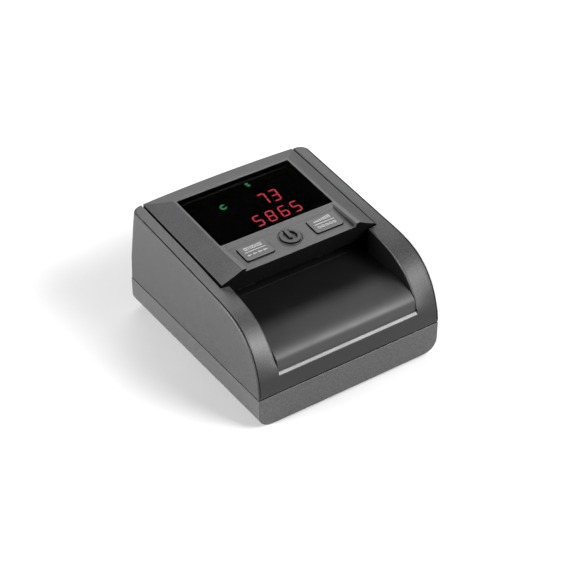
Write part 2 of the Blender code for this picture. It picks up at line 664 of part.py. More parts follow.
def make_electrics():
    box("main_board", (-8, FRONT + 14, BOARD_Z), (54, REAR - 13, BOARD_Z + BOARD_T), CIRCUIT)
    jack = box("dc_jack", (JACK_X - 4.8, REAR - 12.5, SEAM - 14),
               (JACK_X + 4.8, REAR - WALL - 0.4, SEAM - 4.2), BLACK)
    join_round(jack, (JACK_X, REAR - 2, SEAM - 9), 3.9, 3.8, "Y", 20)
    cut_round(jack, (JACK_X, REAR, SEAM - 9), 2.9, 20, "Y", 16)
    join_round(jack, (JACK_X, REAR - 6.5, SEAM - 9), 0.9, 11, "Y", 8)
    port = box("update_port", (PORT_X - 5.2, REAR - 12.5, SEAM - 11.7),
               (PORT_X + 5.2, REAR - 0.4, SEAM - 6.3), STEEL)
    cut_box(port, (PORT_X - 4.6, REAR - 10, SEAM - 11.1), (PORT_X + 4.6, REAR + 1, SEAM - 6.9))
    join_box(port, (PORT_X - 3.4, REAR - 10.5, SEAM - 9.4), (PORT_X + 3.4, REAR - 2, SEAM - 8.3))
    cylinder("buzzer", (38, FRONT + 34, BOARD_Z + BOARD_T + GAP + 4), 6, 8, "Z", 20, BLACK)


def make_fasteners():
    spots = (("front_left", -SCREW_X, SCREW_FRONT_Y), ("front_right", SCREW_X, SCREW_FRONT_Y),
             ("rear_left", -SCREW_X, SCREW_REAR_Y), ("rear_right", SCREW_X, SCREW_REAR_Y))
    for label, x, y in spots:
        screw(label, (x, y, FOOT_DROP + 3.6))
    for label, x, y in (("front_left", -FOOT_X, -FOOT_Y), ("front_right", FOOT_X, -FOOT_Y),
                        ("rear_left", -FOOT_X, FOOT_Y), ("rear_right", FOOT_X, FOOT_Y)):
        cylinder("foot_" + label, (x, y, (FOOT_DROP + 0.5) / 2), 6, FOOT_DROP + 0.5, "Z", 20, RUBBER)
    for label, side in (("left", -1), ("right", 1)):
        cylinder("hinge_pin_" + label, (side * 54.4, HINGE_Y, HINGE_Z), HINGE_PIN_R, 9.0, "X", 16, STEEL)


def screw(label, place):
    """A case screw: shank up, head down, with a cross recess in the head."""
    head = cylinder("case_screw_" + label, (place[0], place[1], place[2] + 1.1), 2.9, 2.2, "Z", 16, STEEL)
    join_round(head, (place[0], place[1], place[2] + 10.6), 1.4, 17.4, "Z", 12)
    for dx, dy in ((1.8, 0.35), (0.35, 1.8)):
        cut_box(head, (place[0] - dx, place[1] - dy, place[2] - 1),
                (place[0] + dx, place[1] + dy, place[2] + 1))


# Motion

HOOD_PIECES = ["top_cover", "display_window", "digit_pair", "digit_quad", "display_board", "key_board",
               "underplate", "upper_sensor_window", "upper_sensor_board", "magnetic_head"]


def hang(pivot, place, names):
    """An empty on a joint's axis, carrying the pieces that move about it."""
    empty = bpy.data.objects.new(pivot, None)
    PARTS.objects.link(empty)
    empty.location = Vector(place) * MM
    bpy.context.view_layer.update()
    for name in names:
        piece = bpy.data.objects[name]
        piece.parent = empty
        piece.matrix_parent_inverse = empty.matrix_world.inverted()


def make_pivots():
    hang("hood_pivot", (0.0, HINGE_Y, HINGE_Z), HOOD_PIECES)
    hang("left_key_pivot", (LEFT_KEY_X, KEY_Y, key_panel_z(KEY_Y)), ["left_key"])
    hang("right_key_pivot", (RIGHT_KEY_X, KEY_Y, key_panel_z(KEY_Y)), ["right_key"])
    hang("power_key_pivot", (POWER_KEY_X, KEY_Y, key_panel_z(KEY_Y)), ["power_key"])
    hang("motor_pivot", (0.0, MOTOR_Y, MOTOR_Z), ["motor_shaft", "motor_pulley", "encoder_wheel"])
    for label, y in (("front", FRONT_AXLE_Y), ("rear", REAR_AXLE_Y)):
        drive = ["drive_shaft", "drive_roller_left", "drive_roller_right", "pulley"]
        hang(label + "_drive_pivot", (0.0, y, DRIVE_Z), ["%s_%s" % (label, piece) for piece in drive])
        pinch = ["pinch_shaft", "pinch_roller_left", "pinch_roller_right"]
        hang(label + "_pinch_pivot", (0.0, y, PINCH_Z), ["%s_%s" % (label, piece) for piece in pinch])


make_base_shell()
make_upper_housing()
make_feed_ramp()
make_top_cover()
make_display()
make_keys()
make_guide_plate()
make_drives()
make_motor()
make_belt()
make_underplate()
make_pinches()
make_sensors()
make_electrics()
make_fasteners()
make_pivots()
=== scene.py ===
"""Looks of the desktop bill detector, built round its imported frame.

Lengths are in millimetres until a mesh is made, and distances called a reach run back from the front.
+X is the user's right, +Y the rear and +Z up, as in the frame.
"""

import json
import math

import bmesh
import bpy
from mathutils import Matrix, Vector


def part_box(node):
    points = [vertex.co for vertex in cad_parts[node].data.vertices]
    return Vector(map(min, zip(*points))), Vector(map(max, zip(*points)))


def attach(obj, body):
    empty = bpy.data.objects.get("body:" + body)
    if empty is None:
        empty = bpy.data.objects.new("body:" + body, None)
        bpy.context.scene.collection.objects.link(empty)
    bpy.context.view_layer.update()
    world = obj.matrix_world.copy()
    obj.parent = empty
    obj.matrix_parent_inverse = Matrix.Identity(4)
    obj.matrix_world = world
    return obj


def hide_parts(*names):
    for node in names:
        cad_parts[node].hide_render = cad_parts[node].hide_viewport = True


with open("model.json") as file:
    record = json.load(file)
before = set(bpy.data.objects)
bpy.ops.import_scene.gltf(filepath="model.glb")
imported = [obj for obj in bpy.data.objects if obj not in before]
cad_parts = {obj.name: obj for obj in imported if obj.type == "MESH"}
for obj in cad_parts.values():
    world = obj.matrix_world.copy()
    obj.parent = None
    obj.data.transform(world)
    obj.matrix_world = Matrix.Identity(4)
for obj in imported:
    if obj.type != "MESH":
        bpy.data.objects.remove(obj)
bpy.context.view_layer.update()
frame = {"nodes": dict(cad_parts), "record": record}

MM = 0.001


def box_mm(node):
    """A node's corners in millimetres."""
    low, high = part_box(node)
    return [v / MM for v in low], [v / MM for v in high]


housing_low, housing_high = box_mm("upper_housing")
FRONT, REAR = housing_low[1], housing_high[1]
HALF = housing_high[0]
SEAM = housing_low[2]
window_low, window_high = box_mm("display_window")
WINDOW_T = 1.8
PLANE_SLOPE = (window_high[2] - window_low[2] - WINDOW_T) / (window_high[1] - window_low[1])
PLANE_TILT = math.atan(PLANE_SLOPE)
plate_low, plate_high = box_mm("guide_plate")
PATH_Z = plate_high[2]
SLOT_Y = plate_low[1]
hood_low, hood_high = box_mm("top_cover")
SIDE_CLEAR = 0.15
HOOD_HALF = hood_high[0] - SIDE_CLEAR
HOOD_BOTTOM = hood_low[2]
pin_low, pin_high = box_mm("hinge_pin_left")
HINGE_Y = (pin_low[1] + pin_high[1]) / 2
HINGE_Z = (pin_low[2] + pin_high[2]) / 2
PIN_R = (pin_high[1] - pin_low[1]) / 2

# Upper housing
CURVE_REACH = 50.0
CURVE_RISE = 40.4
CURVE_POWER = 3.3
CURVE_ROOT = 1.9
RAIL_SLOPE = 0.0742
DRAFT = 0.7
EDGE_R = 0.7
GROOVE_DEPTH = 0.3
SEAM_EXTRA = 0.3
TUCK = 0.02
THROAT_HALF = 49.2
THROAT_EDGE_R = 0.9
CHANNEL_HALF = 55.1
CHANNEL_REACH = 51.4
ROLL_START = 1.7
ROLL_DEPTH = 2.8
ROLL_SETTLE = 3.4
ROLL_FADE_START = 23.0
ROLL_FADE = 0.045
ROLL_LEAST = 0.25
RAIL_MIDDLE = 56.6
SKIN = 2.3
LIP_START = 10.5
LIP_RISE = 1.72
LIP_BACK = 3.4
LIP_STEPS = ((0.0, 0.0), (0.12, 0.28), (0.38, 0.6), (1.28, 1.5), (1.5, 1.66), (1.75, LIP_RISE))
REAR_WALL_TOP = 40.0
REAR_WALL_T = 2.4
REAR_WALL_HALF = 57.0
REAR_LEAN = 2.0
LEAN_START = 18.0
CORNER_LOW_R = 0.8
CORNER_TOP_R = 6.4
EXIT_HALF = 46.5
PIN_CLEAR = 0.3
RAMP_HALF = 48.95
RAMP_TILT = 4.2
RAMP_BEND = 48.0
RAMP_BEND_STEPS = 15

# Hood
PLATEAU_HALF = 41.4
HOOD_SKIN = 2.2
HOOD_REACH = 139.0
HOOD_BOW = 1.3
PLATEAU_REACH = 49.5
PLATEAU_END = 125.0
WING_REACH = 51.9
WING_FRONT_Z = SEAM + 44.8
WING_SLOPE = 6.2 / 86.2
KEY_FRONT = FRONT + 51.1
KEY_REAR = FRONT + 71.6
KEY_FRONT_Z = SEAM + 49.3
RECESS_HALF = 38.9
RECESS_END = FRONT + 74.2
KEY_CLEAR = 0.35
WINDOW_CLEAR = 0.25
HOOD_TOP = SEAM + 64.0

# Display and printing
DIGIT_WIDE = 4.6
DIGIT_THICK = 0.95
DIGIT_LEAN = 0.12
CAPTION_UP = 3.5
CAPTION_LINE = 0.6
CAPTION_DOWN = -2.2


# Materials

class Finish:
    """A node material being put together."""

    def __init__(self, name):
        self.made = bpy.data.materials.new(name)
        self.made.use_nodes = True
        self.nodes = self.made.node_tree.nodes
        self.links = self.made.node_tree.links
        self.shader = self.nodes["Principled BSDF"]
        self.coords = self.nodes.new("ShaderNodeTexCoord").outputs["Object"]

    def join(self, output, target):
        self.links.new(output, target)

    def set(self, **values):
        for name, value in values.items():
            self.shader.inputs[name.replace("_", " ")].default_value = value

    def noise(self, size_mm, detail=2.0, rough=0.5, distortion=0.0, stretch=None):
        """Noise whose features measure about size_mm."""
        source = self.coords
        if stretch:
            mapping = self.nodes.new("ShaderNodeMapping")
            mapping.inputs["Scale"].default_value = stretch
            self.join(self.coords, mapping.inputs["Vector"])
            source = mapping.outputs["Vector"]
        made = self.nodes.new("ShaderNodeTexNoise")
        made.inputs["Scale"].default_value = 1.0 / (size_mm * MM)
        made.inputs["Detail"].default_value = detail
        made.inputs["Roughness"].default_value = rough
        made.inputs["Distortion"].default_value = distortion
        self.join(source, made.inputs["Vector"])
        return made.outputs["Fac"]

    def spread(self, value, low, high, from_low=0.3, from_high=0.7):
        """The value stretched to run between low and high."""
        made = self.nodes.new("ShaderNodeMapRange")
        made.inputs["From Min"].default_value = from_low
        made.inputs["From Max"].default_value = from_high
        made.inputs["To Min"].default_value = low
        made.inputs["To Max"].default_value = high
        self.join(value, made.inputs["Value"])
        return made.outputs["Result"]

    def mix(self, share, first, second):
        made = self.nodes.new("ShaderNodeMix")
        made.data_type = "RGBA"
        self.join(share, made.inputs["Factor"])
        for entry, target in ((first, made.inputs[6]), (second, made.inputs[7])):
            if isinstance(entry, bpy.types.NodeSocket):
                self.join(entry, target)
            else:
                target.default_value = (*entry, 1.0)
        return made.outputs[2]

    def rounded(self, radius_mm):
        """Normals eased over the edges of a moulding."""
        made = self.nodes.new("ShaderNodeBevel")
        made.samples = 4
        made.inputs["Radius"].default_value = radius_mm * MM
        return made.outputs["Normal"]

    def edge_mask(self, normal):
        """0 on flat faces and towards 1 on edges, which are made a little glossier and painted lighter, a
        painted highlight.
        """
        geometry = self.nodes.new("ShaderNodeNewGeometry")
        dot = self.nodes.new("ShaderNodeVectorMath")
        dot.operation = "DOT_PRODUCT"
        self.join(normal, dot.inputs[0])
        self.join(geometry.outputs["Normal"], dot.inputs[1])
        return self.spread(dot.outputs["Value"], 1.0, 0.0, 0.80, 0.995)

    def upright_front_shade(self):
        """1 on faces that look straight to the front, falling to 0 as they lean back; the mask of a
        painted shade.
        """
        geometry = self.nodes.new("ShaderNodeNewGeometry")
        axes = self.nodes.new("ShaderNodeSeparateXYZ")
        self.join(geometry.outputs["Normal"], axes.inputs["Vector"])
        return self.spread(axes.outputs["Y"], 1.0, 0.0, -0.985, -0.86)

    def bump(self, height, strength, depth_mm, normal=None):
        made = self.nodes.new("ShaderNodeBump")
        made.inputs["Strength"].default_value = strength
        made.inputs["Distance"].default_value = depth_mm * MM
        self.join(height, made.inputs["Height"])
        if normal is not None:
            self.join(normal, made.inputs["Normal"])
        self.join(made.outputs["Normal"], self.shader.inputs["Normal"])


def shade(colour, factor):
    return tuple(min(c * factor, 1.0) for c in colour)


def plastic(name, colour, roughness=0.45, grain_mm=0.8, grain_depth=0.12, edge_highlight=1.6, gloss=0.5,
            front=1.0, mouth=1.0):
    """Moulded plastic: spark-eroded grain, slow cloudy variation, and edges made a little glossier
    and painted lighter, a painted highlight.

    A front below 1 darkens the faces that stand upright at the front, a painted shade; a mouth above 1
    lightens the plastic toward the mouth of the feed, a painted light that leaves it darker further back
    under the hood, a painted shade.
    """
    look = Finish(name)
    look.set(Specular_IOR_Level=gloss)
    cloud = look.noise(16.0, 3.0, 0.55)
    speck = look.noise(0.6, 1.0, 0.6)
    grain = look.noise(grain_mm, 3.0, 0.65)
    base = look.mix(look.spread(cloud, 0.0, 1.0), shade(colour, 1.4), shade(colour, 1.55))
    base = look.mix(look.spread(speck, 0.0, 1.0), shade(colour, 0.5), base)
    # Painted light and shade: the plastic is painted lighter toward the mouth of the feed and stays darker
    # further back under the hood.
    if mouth > 1.0:
        axes = look.nodes.new("ShaderNodeSeparateXYZ")
        look.join(look.coords, axes.inputs["Vector"])
        near, far = (FRONT + 4.0) * MM, (FRONT + 34.0) * MM
        mouth_light_share = look.spread(axes.outputs["Y"], 1.0, 0.0, near, far)
        base = look.mix(mouth_light_share, base, shade(colour, mouth))
    # Painted shade: faces that stand upright at the front are painted darker.
    if front < 1.0:
        base = look.mix(look.upright_front_shade(), base, shade(colour, front))
    normal = look.rounded(0.45)
    edges = look.edge_mask(normal)
    # Painted highlight: the edges are painted lighter than the rest of the plastic.
    look.join(look.mix(edges, base, shade(colour, edge_highlight)), look.shader.inputs["Base Color"])
    handled = look.nodes.new("ShaderNodeMath")
    handled.operation = "MULTIPLY_ADD"
    look.join(edges, handled.inputs[0])
    handled.inputs[1].default_value = -0.12
    look.join(look.spread(cloud, roughness - 0.03, roughness + 0.03), handled.inputs[2])
    look.join(handled.outputs["Value"], look.shader.inputs["Roughness"])
    look.bump(grain, 0.5, grain_depth, normal)
    return look.made


def metal(name, colour, roughness, stretch):
    """Turned or drawn metal with fine marks along one direction."""
    look = Finish(name)
    marks = look.noise(0.4, 3.0, 0.6, stretch=stretch)
    cloud = look.noise(6.0, 2.0)
    look.set(Metallic=1.0)
    base = look.mix(look.spread(cloud, 0.0, 1.0), shade(colour, 0.85), colour)
    look.join(base, look.shader.inputs["Base Color"])
    look.join(look.spread(marks, roughness - 0.08, roughness + 0.12), look.shader.inputs["Roughness"])
    look.bump(marks, 0.3, 0.01, look.rounded(0.15))
    return look.made


def rubber(name, colour, grain_mm=0.6):
    look = Finish(name)
    grain = look.noise(grain_mm, 4.0, 0.7)
    dust = look.noise(5.0, 3.0, 0.6)
    base = look.mix(look.spread(dust, 0.0, 1.0), colour, shade(colour, 1.7))
    look.join(base, look.shader.inputs["Base Color"])
    look.join(look.spread(dust, 0.68, 0.85), look.shader.inputs["Roughness"])
    look.bump(grain, 0.6, 0.05, look.rounded(0.2))
    return look.made


def circuit(name):
    """Green solder mask with copper tracks just showing through it."""
    look = Finish(name)
    tracks = look.nodes.new("ShaderNodeTexBrick")
    tracks.offset = 0.37
    tracks.inputs["Scale"].default_value = 180.0
    tracks.inputs["Mortar Size"].default_value = 0.06
    tracks.inputs["Color1"].default_value = (0.012, 0.11, 0.04, 1.0)
    tracks.inputs["Color2"].default_value = (0.015, 0.13, 0.05, 1.0)
    tracks.inputs["Mortar"].default_value = (0.03, 0.22, 0.09, 1.0)
    look.join(look.coords, tracks.inputs["Vector"])
    look.join(tracks.outputs["Color"], look.shader.inputs["Base Color"])
    look.join(look.spread(look.noise(2.0), 0.28, 0.4), look.shader.inputs["Roughness"])
    look.bump(tracks.outputs["Fac"], 0.3, 0.03)
    return look.made


def smoked(name, tint, roughness):
    """Polished acrylic: dark through its thickness, with a few hairline wipe marks."""
    look = Finish(name)
    look.set(Transmission_Weight=1.0, IOR=1.02, Base_Color=(*tint, 1.0))
    marks = look.noise(3.0, 4.0, 0.7, 0.4, (1.0, 0.15, 1.0))
    look.join(look.spread(marks, roughness, roughness + 0.05), look.shader.inputs["Roughness"])
    look.bump(look.noise(9.0, 1.0), 0.05, 0.02)
    return look.made


def glow(name, colour, core, strength):
    """A lit segment: bright along its middle and deeper at its ends."""
    look = Finish(name)
    look.set(Base_Color=(0.02, 0.005, 0.005, 1.0), Roughness=0.4, Emission_Strength=strength)
    look.join(look.mix(look.spread(look.noise(1.1, 2.0), 0.0, 1.0), colour, core),
              look.shader.inputs["Emission Color"])
    return look.made


# The casing's upright front faces carry a painted shade, darkened to a fifth.
CASING = plastic("casing", (0.027, 0.027, 0.028), 0.425, gloss=0.36, front=0.2)
# A lighter plastic for the lip and the throat edge, a painted highlight.
EDGE_HIGHLIGHT = plastic("painted_highlight_edge", (0.035, 0.035, 0.0357), 0.42, edge_highlight=1.2)
BASE = plastic("base_casing", (0.038, 0.038, 0.0393), 0.48)
HOOD = plastic("hood", (0.028, 0.028, 0.029), 0.46)
# Near-black plastic painted where shade falls: inside the throat, in the rail groove, under the hood and
# behind the window.
THROAT_SHADE = plastic("throat", (0.002, 0.002, 0.002), 0.6, gloss=0.08)
# The ramp is painted lighter toward the mouth and darker under the hood, a painted light and shade.
RAMP = plastic("ramp", (0.002, 0.002, 0.002), 0.5, 0.5, 0.06, gloss=0.3, mouth=12.0)
PANEL_KEY = plastic("key_cap", (0.036, 0.036, 0.0372), 0.46)
DARK_KEY = plastic("power_mark", (0.012, 0.012, 0.0125), 0.45)
BLACK = plastic("black_moulding", (0.006, 0.006, 0.006), 0.5, gloss=0.4)
# Black for the seam and the key walls, a painted shade.
GAP_SHADE = plastic("gap_black", (0.001, 0.001, 0.001), 0.7, gloss=0.02)
WHITE = plastic("acetal", (0.62, 0.62, 0.58), 0.4)
PRINT = plastic("pad_print", (0.27, 0.27, 0.27), 0.5, 0.2, 0.01)
STEEL = metal("ground_steel", (0.56, 0.56, 0.57), 0.28, (0.1, 1.0, 1.0))
BRONZE = metal("sintered_bronze", (0.5, 0.33, 0.17), 0.42, (1.0, 1.0, 1.0))
MOTOR_CAN = metal("motor_can", (0.48, 0.48, 0.5), 0.33, (1.0, 0.1, 0.1))
RUBBER = rubber("roller_rubber", (0.022, 0.022, 0.023))
FOOT_RUBBER = rubber("foot_rubber", (0.014, 0.014, 0.014), 0.9)
BELT = rubber("belt_rubber", (0.01, 0.01, 0.01), 0.4)
CIRCUIT = circuit("solder_mask")
SMOKED = smoked("smoked_acrylic", (0.05, 0.05, 0.052), 0.02)
GLASS = smoked("sensor_glass", (0.10, 0.08, 0.12), 0.03)
RED_LIT = glow("lit_red", (0.85, 0.03, 0.055), (1.0, 0.13, 0.17), 11.0)
GREEN_LIT = glow("lit_green", (0.05, 0.75, 0.22), (0.2, 1.0, 0.4), 5.0)
UNLIT = plastic("unlit_segment", (0.02, 0.012, 0.012), 0.5)


# Shape helpers

def shown(name, mesh, look=None):
    made = bpy.data.objects.new(name, mesh)
    bpy.context.scene.collection.objects.link(made)
    if look is not None:
        mesh.materials.clear()
        mesh.materials.append(look)
    return made


def from_bmesh(name, bm, look=None):
    bmesh.ops.recalc_face_normals(bm, faces=bm.faces)
    mesh = bpy.data.meshes.new(name)
    bm.to_mesh(mesh)
    bm.free()
    return shown(name, mesh, look)


def loft(name, rings):
    """A closed solid through rings of the same number of (x, y, z) points."""
    bm = bmesh.new()
    grid = [[bm.verts.new([v * MM for v in point]) for point in ring] for ring in rings]
    for first, second in zip(grid, grid[1:]):
        for index in range(len(first)):
            after = (index + 1) % len(first)
            bm.faces.new((first[index], first[after], second[after], second[index]))
    bm.faces.new(grid[0][::-1])
    bm.faces.new(grid[-1])
    bmesh.ops.remove_doubles(bm, verts=bm.verts, dist=0.002 * MM)
    bmesh.ops.dissolve_degenerate(bm, edges=bm.edges, dist=0.001 * MM)
    return from_bmesh(name, bm)


def baked(obj):
    """Replaces the object's mesh with the result of its modifiers."""
    bpy.context.view_layer.update()
    mesh = bpy.data.meshes.new_from_object(obj.evaluated_get(bpy.context.evaluated_depsgraph_get()))
    mesh.name = obj.name
    obj.modifiers.clear()
    obj.data = mesh
    return obj


def combine(obj, others, operation="DIFFERENCE"):
    """Cuts others from obj, or joins them to it, and removes them."""
    for other in others:
        step = obj.modifiers.new("step", "BOOLEAN")
        step.operation = operation
        step.solver = "EXACT"
        step.object = other
    baked(obj)
    for other in others:
        bpy.data.objects.remove(other, do_unlink=True)
    return obj


def merge_faces(obj):
    """Joins the coplanar faces that cutting leaves behind."""
    bm = bmesh.new()
    bm.from_mesh(obj.data)
    bmesh.ops.remove_doubles(bm, verts=bm.verts, dist=0.002 * MM)
    bmesh.ops.dissolve_limit(bm, angle_limit=math.radians(0.6), verts=bm.verts, edges=bm.edges)
    bm.to_mesh(obj.data)
    bm.free()
    return obj


def soften(obj, width, angle):
    """Rounds the edges sharper than the angle, in geometry."""
    step = obj.modifiers.new("edges", "BEVEL")
    step.width = width * MM
    step.segments = 2
    step.limit_method = "ANGLE"
    step.angle_limit = math.radians(angle)
    step.miter_outer = "MITER_ARC"
    step.use_clamp_overlap = True
    return baked(obj)


def place(obj, body, nodes=(), angle=38.0):
    """Smooths the shading between shallow faces, and hangs the piece on its body."""
    obj.data.shade_smooth()
    obj.data.set_sharp_from_angle(angle=math.radians(angle))
    even = obj.modifiers.new("even", "WEIGHTED_NORMAL")
    even.keep_sharp = True
    even.weight = 60
    baked(obj)
    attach(obj, body)
    if nodes:
        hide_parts(*nodes)
    return obj


def prism(name, axis, low, high, outlines, look=None, edge=0.0):
    """Outlines, the first the rim and the rest holes, extruded along an axis with rounded edges.

    Outline points are (y, z) for axis X, (x, z) for axis Y and (x, y) for axis Z.
    """
    flat = bpy.data.curves.new(name, "CURVE")
    flat.dimensions = "2D"
    flat.fill_mode = "BOTH"
    flat.extrude = ((high - low) / 2 - edge) * MM
    flat.bevel_depth = edge * MM
    flat.bevel_resolution = 2
    flat.offset = -edge * MM
    for outline in outlines:
        spline = flat.splines.new("POLY")
        spline.points.add(len(outline) - 1)
        for point, (u, v) in zip(spline.points, outline):
            point.co = (u * MM, v * MM, 0.0, 1.0)
        spline.use_cyclic_u = True
    guide = bpy.data.objects.new(name + "_outline", flat)
    bpy.context.scene.collection.objects.link(guide)
    bpy.context.view_layer.update()
    mesh = bpy.data.meshes.new_from_object(guide.evaluated_get(bpy.context.evaluated_depsgraph_get()))
    bpy.data.objects.remove(guide, do_unlink=True)
    turn = {"X": Matrix(((0, 0, 1, 0), (1, 0, 0, 0), (0, 1, 0, 0), (0, 0, 0, 1))),
            "Y": Matrix(((1, 0, 0, 0), (0, 0, -1, 0), (0, 1, 0, 0), (0, 0, 0, 1))),
            "Z": Matrix.Identity(4)}[axis]
    middle = (low + high) / 2 * MM
    shift = Vector([middle if name == axis else 0.0 for name in "XYZ"])
    bm = bmesh.new()
    bm.from_mesh(mesh)
    bmesh.ops.remove_doubles(bm, verts=bm.verts, dist=0.001 * MM)
    bmesh.ops.transform(bm, matrix=Matrix.Translation(shift) @ turn, verts=bm.verts)
    return from_bmesh(name, bm, look)


CORNER_STEPS = 5


def rounded_rect(low_u, low_v, high_u, high_v, radius):
    points = []
    left, right = low_u + radius, high_u - radius
    bottom, top = low_v + radius, high_v - radius
    for centre_u, centre_v, start in ((right, bottom, -90), (right, top, 0), (left, top, 90),
                                      (left, bottom, 180)):
        for step in range(CORNER_STEPS + 1):
            angle = math.radians(start + 90 * step / CORNER_STEPS)
            points.append((centre_u + radius * math.cos(angle), centre_v + radius * math.sin(angle)))
    return points


def circle(u, v, radius, sides=48):
    steps = [2 * math.pi * step / sides for step in range(sides)]
    return [(u + radius * math.cos(angle), v + radius * math.sin(angle)) for angle in steps]


def block(name, low, high):
    size = [b - a for a, b in zip(low, high)]
    centre = [(a + b) / 2 for a, b in zip(low, high)]
    bm = bmesh.new()
    bmesh.ops.create_cube(bm, size=1.0, matrix=Matrix.Translation(Vector(centre) * MM)
                          @ Matrix.Diagonal((*[s * MM for s in size], 1.0)))
    return from_bmesh(name, bm)


def hinge_bore(name):
    """A bar through both hinge pins, to cut their hole."""
    return prism(name, "X", -60.0, 60.0, [circle(HINGE_Y, HINGE_Z, PIN_R + PIN_CLEAR, 40)])


# Upper housing

def crest(reach):
    """Height of the housing's side edge above the seam, at a distance behind the front."""
    fill = 1.0 - (max(CURVE_REACH - reach, 0.0) / CURVE_REACH) ** CURVE_POWER
    return RAIL_SLOPE * reach + CURVE_RISE * max(fill, 0.0) ** (1.0 / CURVE_ROOT)


def roll(reach):
    """How far the rail's inner edge lies below its outer edge, square to the surface."""
    if reach <= ROLL_START:
        return 0.0
    settle = 1.0 - math.exp((ROLL_START - reach) / ROLL_SETTLE)
    return max(ROLL_DEPTH * settle - ROLL_FADE * max(reach - ROLL_FADE_START, 0.0), ROLL_LEAST)


def stations():
    """Evenly spaced distances behind the front, each with its height and outward normal."""
    fine = [CURVE_REACH * (step / 2400) ** 2.0 for step in range(2401)]
    picked, walked, last = [0.0], 0.0, (0.0, 0.0)
    for reach in fine[1:]:
        here = (reach, crest(reach))
        walked += math.hypot(here[0] - last[0], here[1] - last[1])
        last = here
        if walked >= 1.9:
            picked.append(reach)
            walked = 0.0
    depth = REAR - FRONT
    picked = [reach for reach in picked if reach < CHANNEL_REACH - 0.8] + [CHANNEL_REACH]
    marks = [(reach, False) for reach in picked]
    tail = [CHANNEL_REACH, 60.0, 72.0, 84.0, 96.0, 108.0, 118.0, 126.0, 131.0]
    tail += [depth - 7.5 * (1.0 - math.sin(math.radians(angle))) for angle in (15, 30, 45, 60, 75, 90)]
    marks += [(reach, True) for reach in tail]
    made = []
    for reach, channel in marks:
        step = 0.02
        rise = (crest(reach + step) - crest(max(reach - step, 0.0))) / (step + min(reach, step))
        length = math.hypot(1.0, rise)
        made.append((reach, crest(reach), (-rise / length, 1.0 / length), channel))
    return made


def corner_inset(y, z):
    """The housing's rear corners are rounded in plan, more towards the top."""
    share = min(max((z - SEAM - 12.0) / 38.0, 0.0), 1.0)
    radius = CORNER_LOW_R + (CORNER_TOP_R - CORNER_LOW_R) * share
    past = y - (REAR - radius)
    if past <= 0.0:
        return 0.0
    return radius - math.sqrt(max(radius ** 2 - past ** 2, 0.0))


def side_x(y, z):
    return HALF - DRAFT * (z - SEAM) / 45.0 - corner_inset(y, z)


def cheek_ring(reach, height, normal, channel):
    """A section of the right-hand cheek, up its outer wall, over the rail and down the inner wall."""
    y, top = FRONT + reach, SEAM + height
    bottom = SEAM

    def lowered(depth):
        return y - normal[0] * depth, top - normal[1] * depth

    edge = min(EDGE_R, height * 0.4)
    wall_top = top - edge * normal[1]
    ring = []
    for share in (0.0, 0.3, 0.55, 0.75, 0.9):
        z = bottom + (wall_top - bottom) * share
        ring.append((side_x(y, z), y, z))
    outer = side_x(y, top)
    for angle in (0, 30, 60, 90):
        y_e, z_e = lowered(edge * (1.0 - math.sin(math.radians(angle))))
        ring.append((outer - edge * (1.0 - math.cos(math.radians(angle))), y_e, max(z_e, bottom)))
    inner = CHANNEL_HALF if channel else THROAT_HALF
    round_r = 0.45 if channel else THROAT_EDGE_R * min(max((reach - ROLL_START) / 2.0, 0.0), 1.0)

    def dip(x):
        return roll(reach) * min(max((outer - edge - x) / (outer - edge - THROAT_HALF), 0.0), 1.0)

    for across, depth in ((0.05, 0.0), (0.2, GROOVE_DEPTH), (0.5, GROOVE_DEPTH), (0.65, 0.0)):
        y_g, z_g = lowered(depth if reach > 0.2 else 0.0)
        ring.append((outer - edge - across, y_g, max(z_g, bottom)))
    shared = min(outer - edge - 1.2, 61.8)
    halfway = (shared + RAIL_MIDDLE) / 2
    columns = [shared, halfway + 1.2, halfway - 0.6, RAIL_MIDDLE - 0.2]
    if outer - edge < 58.5:
        span = outer - edge - 0.8 - (CHANNEL_HALF + round_r)
        columns = [CHANNEL_HALF + round_r + span * share for share in (0.8, 0.6, 0.4, 0.2)]
    tail = [] if channel else [(x, 0.0) for x in (55.2, 54.0, 52.8, 51.6, 50.5)]
    tail += [(inner + round_r, 0.0), (inner + round_r * 0.3, round_r * 0.3), (inner, round_r)]
    for x in columns:
        y_d, z_d = lowered(dip(x))
        ring.append((x, y_d, max(z_d, bottom)))
    for x, extra in tail:
        y_d, z_d = lowered(dip(x) + extra)
        ring.append((x, y_d, max(z_d, bottom)))
    y_in, z_in = ring[-1][1:]
    steps = 6 if channel else 1
    for step in range(1, steps + 1):
        ring.append((inner, y_in, z_in + (bottom - z_in) * step / steps))
    deep = SKIN + roll(reach) * 0.7
    y_h, z_h = lowered(deep)
    y_h = min(max(y_h, FRONT + SKIN), REAR - SKIN)
    z_h = max(z_h, bottom)
    skin_x = max(side_x(y, bottom + 0.7 * (z_h - bottom)) - SKIN, inner + SKIN + 0.4)
    if reach > 134.0:
        skin_x = inner + SKIN + 0.4
    ring += [(inner + SKIN, y_h, bottom), (inner + SKIN, y_h, z_h)]
    ring += [(skin_x, y_h, z_h), (skin_x, y_h, bottom)]
    return ring


